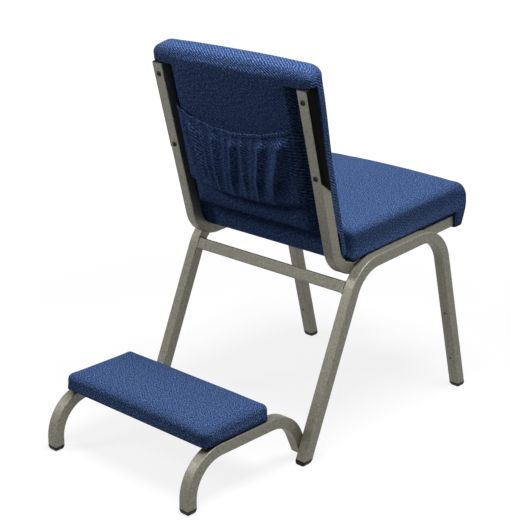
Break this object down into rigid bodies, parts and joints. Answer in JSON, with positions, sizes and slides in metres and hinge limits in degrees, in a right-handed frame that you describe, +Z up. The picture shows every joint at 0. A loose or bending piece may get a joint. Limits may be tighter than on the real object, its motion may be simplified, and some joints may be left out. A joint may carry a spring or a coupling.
{
  "type": "church chair with kneeler",
  "caption": "Upholstered stacking chair on a bent square-tube frame, with a gathered book pocket behind its back and a padded kneeler that folds up between the rear legs.",
  "frame": {"origin": "on the floor, in the middle of the footprint of the chair and its lowered kneeler", "axes": "+Z up, the sitter faces -Y, the kneeler is at +Y behind the chair, +X is the sitter's left"},
  "size_m": [0.471, 0.8772, 0.8224],
  "materials": {
    "frame": "vein powder coat, satin",
    "fabric": "twill weave",
    "black_plastic": "moulded, satin",
    "black_steel": "black oxide",
    "plywood": "raw",
    "zinc": "zinc plated",
    "nylon": "natural"
  },
  "bodies": {
    "chair": {"leg_frame_left": "frame", "leg_frame_right": "frame", "back_post_seat_rail_left": "frame", "back_post_seat_rail_right": "frame", "rear_stretcher": "frame", "seat_crossbar_rear": "frame", "seat_crossbar_front": "frame", "seat_cushion": "fabric", "back_cushion": "fabric", "back_rear_panel": "fabric", "book_pocket": "fabric", "pocket_elastic_hem": "fabric", "front_glide_left": "black_plastic", "front_glide_right": "black_plastic", "rear_glide_left": "black_plastic", "rear_glide_right": "black_plastic", "post_cap_left": "black_plastic", "post_cap_right": "black_plastic", "seat_rail_plug_left": "black_plastic", "seat_rail_plug_right": "black_plastic", "post_bumper_left": "black_plastic", "post_bumper_right": "black_plastic", "back_screw_lower_left": "black_steel", "back_screw_lower_right": "black_steel", "back_screw_upper_left": "black_steel", "back_screw_upper_right": "black_steel", "seat_board": "plywood", "back_board": "plywood", "seat_screw_rear_left": "zinc", "seat_screw_rear_right": "zinc", "seat_screw_front_left": "zinc", "seat_screw_front_right": "zinc", "back_insert_lower_left": "zinc", "back_insert_lower_right": "zinc", "back_insert_upper_left": "zinc", "back_insert_upper_right": "zinc", "pivot_bolt_left": "zinc", "pivot_bolt_right": "zinc", "pivot_weld_nut_left": "zinc", "pivot_weld_nut_right": "zinc", "pivot_washer_left": "nylon", "pivot_washer_right": "nylon"},
    "kneeler": {"kneeler_rail_left": "frame", "kneeler_rail_right": "frame", "kneeler_glide_left": "black_plastic", "kneeler_glide_right": "black_plastic", "kneeler_arm_plug_left": "black_plastic", "kneeler_arm_plug_right": "black_plastic", "pivot_bush_left": "nylon", "pivot_bush_right": "nylon", "kneeler_crossbar": "frame", "kneeler_board": "plywood", "kneeler_pad": "fabric", "kneeler_screw_rear_left": "zinc", "kneeler_screw_rear_right": "zinc", "kneeler_screw_front_left": "zinc", "kneeler_screw_front_right": "zinc"}
  },
  "joints": [
    {"name": "kneeler_fold", "type": "hinge", "parent": "chair", "child": "kneeler", "pos_m": [0, 0.11004, 0.0334], "axis": [1, 0, 0], "range_deg": [0, 104]}
  ]
}
